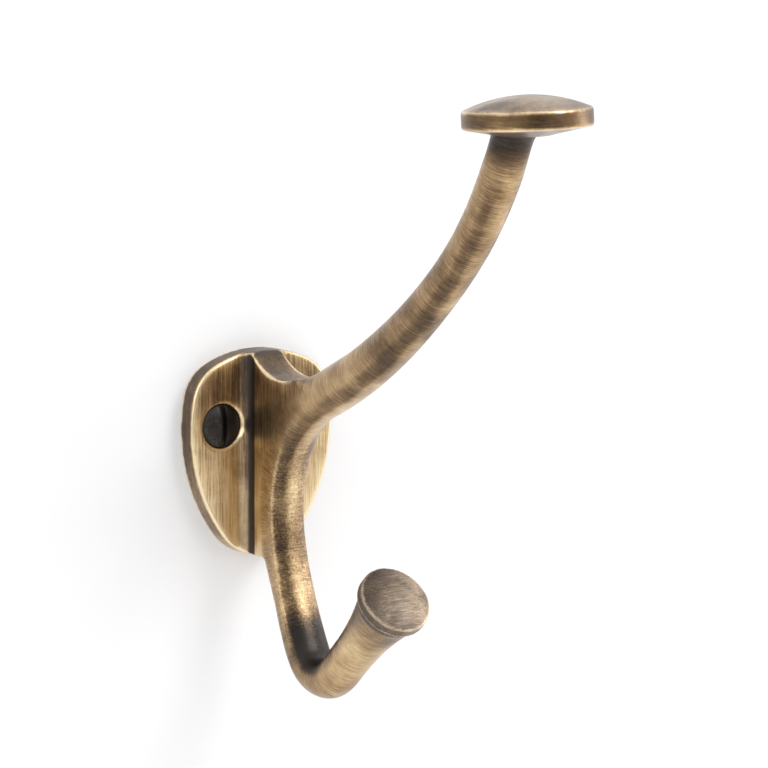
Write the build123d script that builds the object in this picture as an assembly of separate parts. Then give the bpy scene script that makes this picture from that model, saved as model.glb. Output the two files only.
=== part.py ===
"""Double wall hook: one brass casting on two raised countersunk screws, in millimetres.

Frame: the origin is on the wall, midway between the two screw holes. +Z is up, the hook
stands out along -Y, and everything mirrors about X = 0. Side profiles are drawn on SIDE,
where the first coordinate is the distance out from the wall and the second is the height.
"""

import os
from math import asin, cos, degrees, radians, sin, tan

from build123d import *

# Wall plate, an egg outline of tangent arcs from the top centre down to the toe
PLATE_THICKNESS = 4.0
PLATE_TOP = 14.2
CROWN_RADIUS = 25.0
CROWN_TURN = 25.0
SHOULDER_RADIUS = 9.0
SHOULDER_TURN = 55.0
FLANK_RADIUS = 34.0
FLANK_TURN = 48.0
PLATE_EDGE_RADIUS = 0.5

# Screw holes, one in each wing
HOLE_SPACING = 18.4
HOLE_DIAMETER = 4.8
COUNTERSINK_DIAMETER = 9.2
COUNTERSINK_ANGLE = 82.0

# Centre line of the bar, from under the top button to the trumpet of the lower one:
# tangent arcs, each a radius and the angle that it turns through
BAR_START_OUT = 86.9
BAR_START_HEIGHT = 63.5
BAR_START_HEADING = 247.1
ARM_TIP_RADIUS = 81.6
ARM_TIP_TURN = 23.2
ARM_RADIUS = 147.0
ARM_TURN = 19.2
THROAT_RADIUS = 27.8
THROAT_TURN = 75.6
CREASE_TURN = 48.0
DROP_RADIUS = 66.8
DROP_TURN = 19.9
BEND_RADIUS = 6.9
BEND_TURN = 101.6
PRONG_LENGTH = 4.7

# Bar sections: round, or with a flatter inner face between two corners
ARM_TIP_BAR_RADIUS = 4.0
ARM_BAR_RADIUS = 3.82
DROP_BAR_RADIUS = 4.2
PRONG_BAR_RADIUS = 4.05
CORNER_ANGLE = 72.0
INNER_FACE_RISE = 1.35
SECTIONS_PER_EDGE = 5

# Web between the plate and the bar, with splayed flat walls and a saddle on top
WEB_ROOT_WIDTH = 6.9
WEB_SPLAY = 2.5
WEB_COVER = 0.03
WEB_LAP = 0.4
VALLEY_RADIUS = 2.4
SADDLE_BOTTOM_OUT = 15.5
SADDLE_BOTTOM_HEIGHT = 9.9
SADDLE_INNER_RADIUS = 14.0
SADDLE_OUTER_RADIUS = 20.0
SADDLE_INNER_TURN = 55.0
SADDLE_OUTER_TURN = 50.0
SADDLE_SHOULDER_OUT = 11.0
ROOT_BEND_RADIUS = 12.6

# Tail, a round rib from the web's foot into the back of the drop
TAIL_LENGTH = 22.0
TAIL_FOOT_SHARE = 0.75

# Top button, a domed disc set outward of the bar's end
TOP_BUTTON_DIAMETER = 24.3
TOP_BUTTON_OUT = 91.7
TOP_BUTTON_RIM_BOTTOM = 65.65
TOP_BUTTON_RIM_HEIGHT = 3.3
TOP_BUTTON_DOME = 2.7
TOP_BUTTON_DISH = 1.6
TOP_BUTTON_TILT = 4.0
TOP_BUTTON_EDGE_RADIUS = 0.5
TOP_NECK_LENGTH = 4.5
TOP_NECK_RADIUS = 5.2

# Lower button, a domed disc on the trumpet end of the prong
LOW_BUTTON_DIAMETER = 14.3
LOW_BUTTON_RIM = 2.3
LOW_BUTTON_DOME = 1.3
LOW_BUTTON_EDGE_RADIUS = 0.35
TRUMPET_LENGTH = 20.5
TRUMPET_FLARE_RADIUS = 68.0

# Screws: raised countersunk wood screws with a slotted head and a smooth shank, and a
# plain core of the threads' mean diameter in place of the threads
SCREW_HEAD_DIAMETER = 8.4
SCREW_HEAD_RISE = 1.4
SCREW_SHANK_DIAMETER = 4.17
SCREW_SHANK_LENGTH = 4.6
SCREW_THREAD_DIAMETER = 3.5
SCREW_LENGTH = 25.0
SCREW_POINT_LENGTH = 5.0
SCREW_POINT_DIAMETER = 0.4
SLOT_WIDTH = 1.2
SLOT_DEPTH = 1.5
SEAT_CLEARANCE = 0.05

# Reach of a cutting tool past the faces that it works on, and of one that passes right through
MARGIN = 1.0
THROUGH = TOP_BUTTON_OUT + TOP_BUTTON_DIAMETER

# Direction of the arm's centre line where it meets the throat
ARM_FOOT_HEADING = BAR_START_HEADING - ARM_TIP_TURN - ARM_TURN

SIDE = Plane(origin=(0, 0, 0), x_dir=(0, -1, 0), z_dir=(-1, 0, 0))
FRONT = Plane(origin=(0, 0, 0), x_dir=(1, 0, 0), z_dir=(0, -1, 0))


def arc_chain(start, heading, arcs):
    """Tangent arcs end to end, each given as a radius and a signed turn in degrees."""
    point = Vector(*start)
    direction = Vector(cos(radians(heading)), sin(radians(heading)))
    chain = []
    for radius, turn in arcs:
        arc = JernArc(point, direction, radius, turn)
        chain.append(arc)
        point = arc @ 1
        direction = arc % 1
    return chain


def side_point(out, height):
    """A place on the plane of symmetry."""
    return Vector(0, -out, height)


def plate_outline():
    """Egg outline: crown, shoulder and flank, closed by a toe arc centred on the middle line."""
    half = arc_chain(
        (0, PLATE_TOP),
        0,
        [
            (CROWN_RADIUS, -CROWN_TURN),
            (SHOULDER_RADIUS, -SHOULDER_TURN),
            (FLANK_RADIUS, -FLANK_TURN),
        ],
    )
    toe_turn = 180 - CROWN_TURN - SHOULDER_TURN - FLANK_TURN
    toe_radius = (half[-1] @ 1).X / sin(radians(toe_turn))
    half.append(JernArc(half[-1] @ 1, half[-1] % 1, toe_radius, -toe_turn))
    mirrored = [mirror(arc, about=Plane.YZ) for arc in half]
    return FRONT * make_face(half + mirrored)


def plate():
    """Flat plate with the egg outline, its back on the wall."""
    return extrude(plate_outline(), PLATE_THICKNESS)


def bar_path():
    """Centre line of the bar on the plane of symmetry, as tangent edges."""
    bends = arc_chain(
        (BAR_START_OUT, BAR_START_HEIGHT),
        BAR_START_HEADING,
        [
            (ARM_TIP_RADIUS, -ARM_TIP_TURN),
            (ARM_RADIUS, -ARM_TURN),
            (THROAT_RADIUS, CREASE_TURN),
            (THROAT_RADIUS, THROAT_TURN - CREASE_TURN),
            (DROP_RADIUS, DROP_TURN),
            (BEND_RADIUS, BEND_TURN),
        ],
    )
    neck = Line((bends[0] @ 0) - (bends[0] % 0) * TOP_NECK_LENGTH, bends[0] @ 0)
    prong = Line(bends[-1] @ 1, (bends[-1] @ 1) + (bends[-1] % 1) * PRONG_LENGTH)
    return [SIDE * edge for edge in [neck] + bends + [prong]]


def wall_half_width(place):
    """Half width of the web at a place, growing outward by the splay."""
    return WEB_ROOT_WIDTH / 2 + (-place.Y - PLATE_THICKNESS) * tan(radians(WEB_SPLAY))


def bar_section(edge, share, radius, flatness):
    """Section across the bar at a share of one edge: inner face, two flanks and a round back.

    At a flatness of 0 it is a circle. At 1 its flanks are straight, and its inner face is a
    low curve between two corners.
    """
    corner_height = radius * cos(radians(CORNER_ANGLE))
    corner_width = radius * (sin(radians(CORNER_ANGLE)) * (1 - flatness) + flatness)
    rise = (radius - corner_height) * (1 - flatness) + INNER_FACE_RISE * flatness
    flank_control = (radius, radius * tan(radians((90 - CORNER_ANGLE) / 2)))
    crest = (0, corner_height + rise)
    inner = ThreePointArc((corner_width, corner_height), crest, (-corner_width, corner_height))
    flank = Bezier((radius, 0), flank_control, (corner_width, corner_height))
    back = ThreePointArc((-radius, 0), (0, -radius), (radius, 0))
    plane = Plane(origin=edge @ share, x_dir=(1, 0, 0), z_dir=edge % share)
    return plane * make_face([flank, inner, mirror(flank, about=Plane.YZ), back])


def bar_ends():
    """Radius and flatness of the bar's section at each end of its centre line's edges."""
    path = bar_path()
    arm_foot = wall_half_width(path[2] @ 1) - WEB_COVER
    drop_head = wall_half_width(path[4] @ 1) - WEB_COVER
    return [
        (TOP_NECK_RADIUS, 0),
        (ARM_TIP_BAR_RADIUS, 0),
        (ARM_BAR_RADIUS, 0),
        (arm_foot, 0),
        (None, 1),
        (drop_head, 1),
        (DROP_BAR_RADIUS, 1),
        (PRONG_BAR_RADIUS, 0),
        (PRONG_BAR_RADIUS, 0),
    ]


def bar():
    """Bar from button to button: round arms, and a flatter inner face on the drop.

    Where it passes the web its flanks follow the web's walls, just inside them.
    """
    ends = bar_ends()
    sections = []
    for number, edge in enumerate(bar_path()):
        start, finish = ends[number], ends[number + 1]
        for step in range(min(number, 1), SECTIONS_PER_EDGE + 1):
            share = step / SECTIONS_PER_EDGE
            ease = share * share * (3 - 2 * share)
            if start[0] is None or finish[0] is None:
                radius = wall_half_width(edge @ share) - WEB_COVER
            else:
                radius = start[0] + (finish[0] - start[0]) * ease
            flatness = start[1] + (finish[1] - start[1]) * ease
            sections.append(bar_section(edge, share, radius, flatness))
    return loft(sections)


def tail():
    """Straight tapered half-round rib that carries the back of the drop up into the web."""
    drop = bar_path()[5]
    direction = drop % TAIL_FOOT_SHARE
    foot = drop @ TAIL_FOOT_SHARE
    head = foot - direction * TAIL_LENGTH
    return loft([half_round(place, direction) for place in (head, foot)])


def arm_root():
    """Round root of the arm, bent level and run back into the plate under the saddle."""
    foot = SIDE.to_local_coords(bar_path()[2] @ 1)
    heading = SIDE.to_local_coords(bar_path()[2] % 1)
    bend = JernArc(foot, heading, ROOT_BEND_RADIUS, -(ARM_FOOT_HEADING - 180))
    run = Line(bend @ 1, (PLATE_THICKNESS / 2, (bend @ 1).Y))
    rings = []
    for edge, shares in ((SIDE * bend, (0, 0.5, 1)), (SIDE * run, (0.5, 1))):
        for share in shares:
            plane = Plane(origin=edge @ share, x_dir=(1, 0, 0), z_dir=edge % share)
            rings.append(plane * Circle(wall_half_width(edge @ share) - WEB_COVER))
    return loft(rings)


def half_round(place, direction):
    """Half disc across the tail, as wide as the web's walls there, its round side inward."""
    radius = wall_half_width(place) - WEB_COVER
    plane = Plane(origin=place, x_dir=(1, 0, 0), z_dir=direction)
    back = ThreePointArc((-radius, 0), (0, -radius), (radius, 0))
    return plane * make_face([back, Line((radius, 0), (-radius, 0))])


def web():
    """Fill between the plate and the bar's throat, within the plate's outline."""
    arm_foot = bar_path()[2]
    inward = (arm_foot % 1).cross(Vector(1, 0, 0))
    shoulder = (arm_foot @ 1) - inward * WEB_LAP
    heading = SIDE.to_local_coords(Vector(0, 0, 0) + (arm_foot % 1))
    start = SIDE.to_local_coords(shoulder)
    front = JernArc(start, heading, THROAT_RADIUS - WEB_LAP, THROAT_TURN)
    heel = front @ 1
    inside = PLATE_THICKNESS / 2
    toe_height = plate_outline().bounding_box().min.Z
    border = Polyline(
        heel,
        (heel.X, toe_height),
        (inside, toe_height),
        (inside, PLATE_TOP),
        (SADDLE_SHOULDER_OUT, PLATE_TOP),
        start,
    )
    block = extrude(SIDE * make_face([front, border]), THROUGH, both=True)
    return block & wall_wedge() & extrude(plate_outline(), THROUGH)


def wall_wedge():
    """Space between the splayed walls of the web, which trims the bar where it is wider."""
    near = WEB_ROOT_WIDTH / 2 - PLATE_THICKNESS * tan(radians(WEB_SPLAY))
    far = near + THROUGH * tan(radians(WEB_SPLAY))
    outline = Polyline((-near, 0), (near, 0), (far, -THROUGH), (-far, -THROUGH), close=True)
    return extrude(make_face(outline), THROUGH, both=True)


def saddle_cutter():
    """Space above the saddle, hollowed by two arcs that meet at its lowest point."""
    bottom = Vector(SADDLE_BOTTOM_OUT, SADDLE_BOTTOM_HEIGHT)
    inner = JernArc(bottom, (-1, 0), SADDLE_INNER_RADIUS, -SADDLE_INNER_TURN)
    outer = JernArc(bottom, (1, 0), SADDLE_OUTER_RADIUS, SADDLE_OUTER_TURN)
    lid = Polyline(outer @ 1, ((outer @ 1).X, THROUGH), ((inner @ 1).X, THROUGH), inner @ 1)
    return extrude(SIDE * make_face([inner, outer, lid]), THROUGH, both=True)


def domed_disc(radius, lower_outline, dome, edge_radius):
    """Disc turned about Z from its lower outline, with a dome on it and rounded rims."""
    dome_start = lower_outline[-1] @ 1
    crown = Vector(0, dome_start.Y + dome)
    dome_radius = (radius**2 + dome**2) / (2 * dome)
    dome_arc = RadiusArc(dome_start, crown, -dome_radius)
    axis_line = Line(crown, lower_outline[0] @ 0)
    half = make_face([*lower_outline, dome_arc, axis_line])
    rims = half.vertices().group_by(Axis.X)[-1]
    return revolve(Plane.XZ * fillet(rims, edge_radius), Axis.Z)


def top_button():
    """Domed disc with a shallow conical underside, set outward of the bar's end."""
    radius = TOP_BUTTON_DIAMETER / 2
    outline = [
        Line((0, -TOP_BUTTON_DISH), (ARM_TIP_BAR_RADIUS, -TOP_BUTTON_DISH)),
        Line((ARM_TIP_BAR_RADIUS, -TOP_BUTTON_DISH), (radius, 0)),
        Line((radius, 0), (radius, TOP_BUTTON_RIM_HEIGHT)),
    ]
    lean = radians(TOP_BUTTON_TILT)
    seat = Plane(
        origin=side_point(TOP_BUTTON_OUT, TOP_BUTTON_RIM_BOTTOM),
        x_dir=(1, 0, 0),
        z_dir=(0, sin(lean), cos(lean)),
    )
    return seat * domed_disc(radius, outline, TOP_BUTTON_DOME, TOP_BUTTON_EDGE_RADIUS)


def low_button():
    """Trumpet of the prong and the domed disc at its mouth, as one turned form."""
    radius = LOW_BUTTON_DIAMETER / 2
    rim_start = TRUMPET_LENGTH - LOW_BUTTON_RIM
    foot = Line((0, 0), (PRONG_BAR_RADIUS + WEB_COVER, 0))
    flare_turn = degrees(asin(rim_start / TRUMPET_FLARE_RADIUS))
    flare = JernArc(foot @ 1, (0, 1), TRUMPET_FLARE_RADIUS, -flare_turn)
    shelf = Line(flare @ 1, (radius, rim_start))
    outline = [foot, flare, shelf, Line(shelf @ 1, (radius, TRUMPET_LENGTH))]
    prong = bar_path()[-1]
    seat = Plane(origin=prong @ 1, x_dir=(1, 0, 0), z_dir=prong % 1)
    return seat * domed_disc(radius, outline, LOW_BUTTON_DOME, LOW_BUTTON_EDGE_RADIUS)


def hole_tool():
    """Countersink and clearance bore for one screw, along Z from the wall outward."""
    mouth = COUNTERSINK_DIAMETER / 2
    bore = HOLE_DIAMETER / 2
    flank = tan(radians(COUNTERSINK_ANGLE / 2))
    depth = (mouth - bore) / flank
    flared = mouth + MARGIN * flank
    outline = Polyline(
        (0, -MARGIN),
        (bore, -MARGIN),
        (bore, PLATE_THICKNESS - depth),
        (flared, PLATE_THICKNESS + MARGIN),
        (0, PLATE_THICKNESS + MARGIN),
        close=True,
    )
    return revolve(Plane.XZ * make_face(outline), Axis.Z)


def hole_places():
    """Frames on the wall at the two screw holes, each with Z pointing outward."""
    return [
        Plane(origin=(side * HOLE_SPACING / 2, 0, 0), x_dir=(1, 0, 0), z_dir=(0, -1, 0))
        for side in (-1, 1)
    ]


def is_valley(edge):
    """Whether an edge is the corner between a wing of the plate and a wall of the web."""
    box = edge.bounding_box()
    on_face = abs(box.min.Y + PLATE_THICKNESS) < 0.001 and box.size.Y < 0.001
    return on_face and box.size.X < 0.001 and box.size.Z > PLATE_TOP


def is_front_rim(edge):
    """Whether an edge lies on the outline of the plate's front face."""
    box = edge.bounding_box()
    on_face = abs(box.min.Y + PLATE_THICKNESS) < 0.001 and box.size.Y < 0.001
    return on_face and edge.geom_type == GeomType.CIRCLE


def plate_and_web():
    """Plate and web with the valleys between them, and the plate's worn front rim."""
    body = plate() + web()
    body = fillet(body.edges().filter_by(is_valley), VALLEY_RADIUS)
    return fillet(body.edges().filter_by(is_front_rim), PLATE_EDGE_RADIUS)


def hook_casting():
    """Plate, web, bar and buttons as one casting, with the saddle and screw holes cut."""
    body = plate_and_web() + bar() + arm_root() + tail()
    body -= saddle_cutter() & wing_guard()
    for place in hole_places():
        body -= place * hole_tool()
    return body + low_button() + top_button()


def wing_guard():
    """Space in front of the plate's face, where the saddle may be cut."""
    return Pos(0, -PLATE_THICKNESS - THROUGH / 2, 0) * Box(THROUGH, THROUGH, 2 * THROUGH)


def screw():
    """Wood screw along Z: slotted raised head, countersunk under-head, shank and point.

    Its origin is the centre of the head's rim, and the shank runs toward -Z.
    """
    head = SCREW_HEAD_DIAMETER / 2
    shank = SCREW_SHANK_DIAMETER / 2
    thread = SCREW_THREAD_DIAMETER / 2
    cone_depth = (head - shank) / tan(radians(COUNTERSINK_ANGLE / 2))
    crown_radius = (head**2 + SCREW_HEAD_RISE**2) / (2 * SCREW_HEAD_RISE)
    crown = RadiusArc((head, 0), (0, SCREW_HEAD_RISE), -crown_radius)
    flank = Polyline(
        (0, SCREW_HEAD_RISE),
        (0, -SCREW_LENGTH),
        (SCREW_POINT_DIAMETER / 2, -SCREW_LENGTH),
        (thread, SCREW_POINT_LENGTH - SCREW_LENGTH),
        (thread, -SCREW_SHANK_LENGTH),
        (shank, -SCREW_SHANK_LENGTH),
        (shank, -cone_depth),
        (head, 0),
    )
    body = revolve(Plane.XZ * make_face([crown, flank]), Axis.Z)
    slot = Box(SLOT_WIDTH, 2 * SCREW_HEAD_DIAMETER, 2 * SLOT_DEPTH)
    return body - Pos(0, 0, SCREW_HEAD_RISE) * slot


def mounting_screws():
    """Both screws in their countersinks, slots upright, each just clear of its seat."""
    half_angle = radians(COUNTERSINK_ANGLE / 2)
    drop = (COUNTERSINK_DIAMETER - SCREW_HEAD_DIAMETER) / 2 / tan(half_angle)
    rim_height = PLATE_THICKNESS - drop + SEAT_CLEARANCE / sin(half_angle)
    return [place * Pos(0, 0, rim_height) * screw() for place in hole_places()]


if __name__ == "__main__":
    os.makedirs("parts", exist_ok=True)
    export_step(hook_casting(), "parts/hook_casting.step")
    export_step(Compound(mounting_screws()), "parts/mounting_screws.step")
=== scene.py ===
"""Double wall hook in brushed antique brass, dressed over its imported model, in metres.

Frame: +Z is up, the wall is the plane Y = 0, and the hook stands out from it along -Y.
"""

import logging
import math
from dataclasses import dataclass
from enum import Enum
from functools import cached_property

import bmesh
import bpy
import numpy as np
from mathutils import Matrix, Vector
from mathutils.bvhtree import BVHTree

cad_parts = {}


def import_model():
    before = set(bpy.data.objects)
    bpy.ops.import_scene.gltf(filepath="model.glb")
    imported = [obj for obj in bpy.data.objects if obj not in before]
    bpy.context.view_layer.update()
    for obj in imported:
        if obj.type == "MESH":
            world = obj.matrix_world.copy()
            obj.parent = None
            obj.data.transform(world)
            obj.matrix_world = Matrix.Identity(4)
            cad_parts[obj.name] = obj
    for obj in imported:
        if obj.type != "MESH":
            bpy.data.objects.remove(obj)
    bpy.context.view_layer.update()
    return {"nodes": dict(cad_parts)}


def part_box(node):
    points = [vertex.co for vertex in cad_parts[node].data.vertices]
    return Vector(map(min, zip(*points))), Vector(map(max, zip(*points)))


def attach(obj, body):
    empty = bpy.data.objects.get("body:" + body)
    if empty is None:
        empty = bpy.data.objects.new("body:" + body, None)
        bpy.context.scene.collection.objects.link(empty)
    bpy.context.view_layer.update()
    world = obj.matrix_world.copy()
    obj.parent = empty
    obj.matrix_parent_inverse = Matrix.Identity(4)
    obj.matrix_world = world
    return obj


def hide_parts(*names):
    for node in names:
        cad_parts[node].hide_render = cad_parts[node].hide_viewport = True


MM = 0.001
log = logging.getLogger("double_hook")

Span = tuple[float, float]
Range = tuple[float, float, float, float]
Steps = tuple[tuple[str | float, ...], ...]
Tone = tuple[float, float, float, float]
Stops = tuple[tuple[float, Tone], ...]


class Zone(Enum):
    """Part of the casting with its own way in the finish, by its attribute on the skin."""

    BAR = "on_bar"
    DROP = "on_drop"
    FACE = "on_low_button"
    DOME = "on_top_button"
    RIM = "on_rim"
    # worn edges with painted highlight lines on them
    EDGE = "edge"
    RUB = "rub"
    # patina in the hollows, with painted shade in creases, on the plate's side walls, on the saddle, under
    # the top button and in the lower hook's bowl
    HOLLOW = "hollow"
    # dark seam line where the valley meets the web, with painted shade inside the holes and in the bowl
    SEAM = "seam"


Weights = tuple[tuple[Zone, float], ...]


class Stroke(Enum):
    """Way that the brush ran over a surface, as noise cells per millimetre on its three axes."""

    UP_THE_PLATE = (5.6, 5.6, 0.17)
    ROUND_THE_BAR = (6.0, 0.24, 0.24)
    ACROSS_THE_FACE = (0.22, 5.0, 5.0)
    OVER_THE_DOME = (0.9, 2.6, 0.4)
    ALONG_THE_RIM = (0.25, 0.25, 4.2)


class PaintBench:
    """Node tree of a finish or a world, with a short call for each kind of node in it."""

    def __init__(self, owner: bpy.types.Material | bpy.types.World) -> None:
        """Start an empty node tree.

        Args:
            owner: the new material or world that the nodes are for.
        """
        self.owner = owner
        self.owner.use_nodes = True
        self.tree = self.owner.node_tree
        self.tree.nodes.clear()
        self.read: dict[str, bpy.types.Node] = {}

    def node(self, kind: str, **settings: object) -> bpy.types.Node:
        """Add a node.

        Args:
            kind: Blender's type name of the node.
            settings: properties of the node.

        Returns:
            The new node.
        """
        made = self.tree.nodes.new(kind)
        for key, value in settings.items():
            setattr(made, key, value)
        return made

    def join(self, out: bpy.types.NodeSocket, into: bpy.types.NodeSocket) -> None:
        """Link an output to an input."""
        self.tree.links.new(out, into)

    def feed(self, value: object, into: bpy.types.NodeSocket) -> None:
        """Link a socket or set a plain value.

        Args:
            value: an output socket, or a number or colour.
            into: the input that takes it.
        """
        if isinstance(value, bpy.types.NodeSocket):
            self.join(value, into)
        else:
            into.default_value = value

    @cached_property
    def place(self) -> bpy.types.NodeSocket:
        """Object coordinates in millimetres."""
        return self.stretched(self.node("ShaderNodeTexCoord").outputs["Object"], (1 / MM, 1 / MM, 1 / MM))

    def stretched(self, vector: bpy.types.NodeSocket,
                  scale: tuple[float, float, float]) -> bpy.types.NodeSocket:
        """Scale a vector on its three axes.

        Args:
            vector: the vector socket.
            scale: factor on each axis.

        Returns:
            The scaled vector.
        """
        mapping = self.node("ShaderNodeMapping")
        self.join(vector, mapping.inputs["Vector"])
        mapping.inputs["Scale"].default_value = scale
        return mapping.outputs["Vector"]

    def laid_on(self, name: str, output: str = "Fac") -> bpy.types.NodeSocket:
        """Read an attribute that the skin carries, with one node for each attribute.

        Args:
            name: name of the attribute.
            output: which output of it is read.

        Returns:
            The output socket.
        """
        if name not in self.read:
            self.read[name] = self.node("ShaderNodeAttribute", attribute_name=name)
        return self.read[name].outputs[output]

    @cached_property
    def bar_place(self) -> bpy.types.NodeSocket:
        """Place along the bar, across it and towards its inner side, in millimetres."""
        return self.laid_on("bar_place", "Vector")

    def zone(self, zone: Zone) -> bpy.types.NodeSocket:
        """Value that is 1 in a zone and 0 outside it."""
        return self.laid_on(zone.value)

    def apart(self, vector: bpy.types.NodeSocket) -> tuple[bpy.types.NodeSocket, ...]:
        """Take a vector apart.

        Args:
            vector: the vector socket.

        Returns:
            Its X, Y and Z.
        """
        split = self.node("ShaderNodeSeparateXYZ")
        self.join(vector, split.inputs[0])
        return tuple(split.outputs)

    def noise(self, vector: bpy.types.NodeSocket, scale: float = 1.0, detail: float = 2.0,
              roughness: float = 0.5, distortion: float = 0.0) -> bpy.types.NodeSocket:
        """Noise from 0 to 1 about a middle of one half.

        Args:
            vector: where the noise is read.
            scale: cells per unit.
            detail: octaves.
            roughness: weight of the finer octaves.
            distortion: how far the cells are bent.

        Returns:
            The noise value.
        """
        made = self.node("ShaderNodeTexNoise", noise_dimensions="3D")
        self.join(vector, made.inputs["Vector"])
        made.inputs["Scale"].default_value = scale
        made.inputs["Detail"].default_value = detail
        made.inputs["Roughness"].default_value = roughness
        made.inputs["Distortion"].default_value = distortion
        return made.outputs["Fac"]

    def sum(self, act: str, first: object, second: object, third: object = None) -> bpy.types.NodeSocket:
        """One step of arithmetic.

        Args:
            act: Blender's name of the operation.
            first: first value or socket.
            second: second value or socket.
            third: third value or socket, where the operation takes one.

        Returns:
            The result.
        """
        made = self.node("ShaderNodeMath", operation=act)
        self.feed(first, made.inputs[0])
        self.feed(second, made.inputs[1])
        if third is not None:
            self.feed(third, made.inputs[2])
        return made.outputs[0]

    def total(self, start: object, *parts: tuple[bpy.types.NodeSocket, float]) -> bpy.types.NodeSocket:
        """A start value with weighted parts added to it.

        Args:
            start: the value that the parts are added to.
            parts: pairs of a socket and its weight.

        Returns:
            The sum.
        """
        so_far = start
        for socket, weight in parts:
            so_far = self.sum("MULTIPLY_ADD", socket, weight, so_far)
        return so_far

    def weighed(self, start: object, weights: Weights) -> bpy.types.NodeSocket:
        """A start value with the weight of each zone added there."""
        return self.total(start, *((self.zone(zone), weight) for zone, weight in weights))

    def product(self, first: object, *others: object) -> bpy.types.NodeSocket:
        """Product of values.

        Args:
            first: first value or socket.
            others: the values or sockets that it is multiplied by.

        Returns:
            The product.
        """
        for other in others:
            first = self.sum("MULTIPLY", first, other)
        return first

    def centred(self, noise: bpy.types.NodeSocket) -> bpy.types.NodeSocket:
        """A noise value moved from one half to zero."""
        return self.sum("SUBTRACT", noise, 0.5)

    def between(self, share: object, low: object, high: object, kind: str = "FLOAT") -> bpy.types.NodeSocket:
        """Number or colour between two others.

        Args:
            share: 0 gives the low one and 1 the high one.
            low: value at 0.
            high: value at 1.
            kind: FLOAT for numbers, RGBA for colours.

        Returns:
            The mixed value.
        """
        made = self.node("ShaderNodeMix", data_type=kind)
        start, result = {"FLOAT": (2, 0), "RGBA": (6, 2)}[kind]
        for socket, value in zip((made.inputs[0], *made.inputs[start:start + 2]), (share, low, high)):
            self.feed(value, socket)
        return made.outputs[result]

    def spread(self, value: bpy.types.NodeSocket, low: float, high: float,
               to_low: float = 0.0, to_high: float = 1.0) -> bpy.types.NodeSocket:
        """Map one range on another with a soft start and end.

        Args:
            value: the number that is mapped.
            low: start of its range.
            high: end of its range.
            to_low: result at the start.
            to_high: result at the end.

        Returns:
            The mapped number.
        """
        made = self.node("ShaderNodeMapRange", interpolation_type="SMOOTHSTEP")
        self.join(value, made.inputs[0])
        for socket, number in zip(made.inputs[1:5], (low, high, to_low, to_high)):
            socket.default_value = number
        return made.outputs[0]

    def ramp(self, value: bpy.types.NodeSocket, stops: Stops) -> bpy.types.NodeSocket:
        """Colour ramp.

        Args:
            value: the number that picks the colour.
            stops: pairs of a position and a colour.

        Returns:
            The colour.
        """
        made = self.node("ShaderNodeValToRGB")
        self.join(value, made.inputs[0])
        line = made.color_ramp
        while len(line.elements) < len(stops):
            line.elements.new(1.0)
        for element, (position, colour) in zip(line.elements, stops):
            element.position = position
            element.color = colour
        return made.outputs[0]

    def bump(self, height: bpy.types.NodeSocket, strength: float, distance: float) -> bpy.types.NodeSocket:
        """Normal that follows a height.

        Args:
            height: height from 0 to 1.
            strength: share of the effect.
            distance: height of 1, in metres.

        Returns:
            The normal.
        """
        made = self.node("ShaderNodeBump")
        made.inputs["Strength"].default_value = strength
        made.inputs["Distance"].default_value = distance
        self.join(height, made.inputs["Height"])
        return made.outputs["Normal"]

    def metal(self, colour: object, roughness: object, metallic: object,
              normal: bpy.types.NodeSocket) -> bpy.types.Node:
        """Principled surface on the material's output.

        Args:
            colour: base colour.
            roughness: roughness.
            metallic: share of bare metal.
            normal: bumped normal.

        Returns:
            The shader node, for its plain sockets.
        """
        shader = self.node("ShaderNodeBsdfPrincipled")
        self.feed(colour, shader.inputs["Base Color"])
        self.feed(roughness, shader.inputs["Roughness"])
        self.feed(metallic, shader.inputs["Metallic"])
        self.join(normal, shader.inputs["Normal"])
        self.join(shader.outputs[0], self.node("ShaderNodeOutputMaterial").inputs["Surface"])
        return shader


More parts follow.
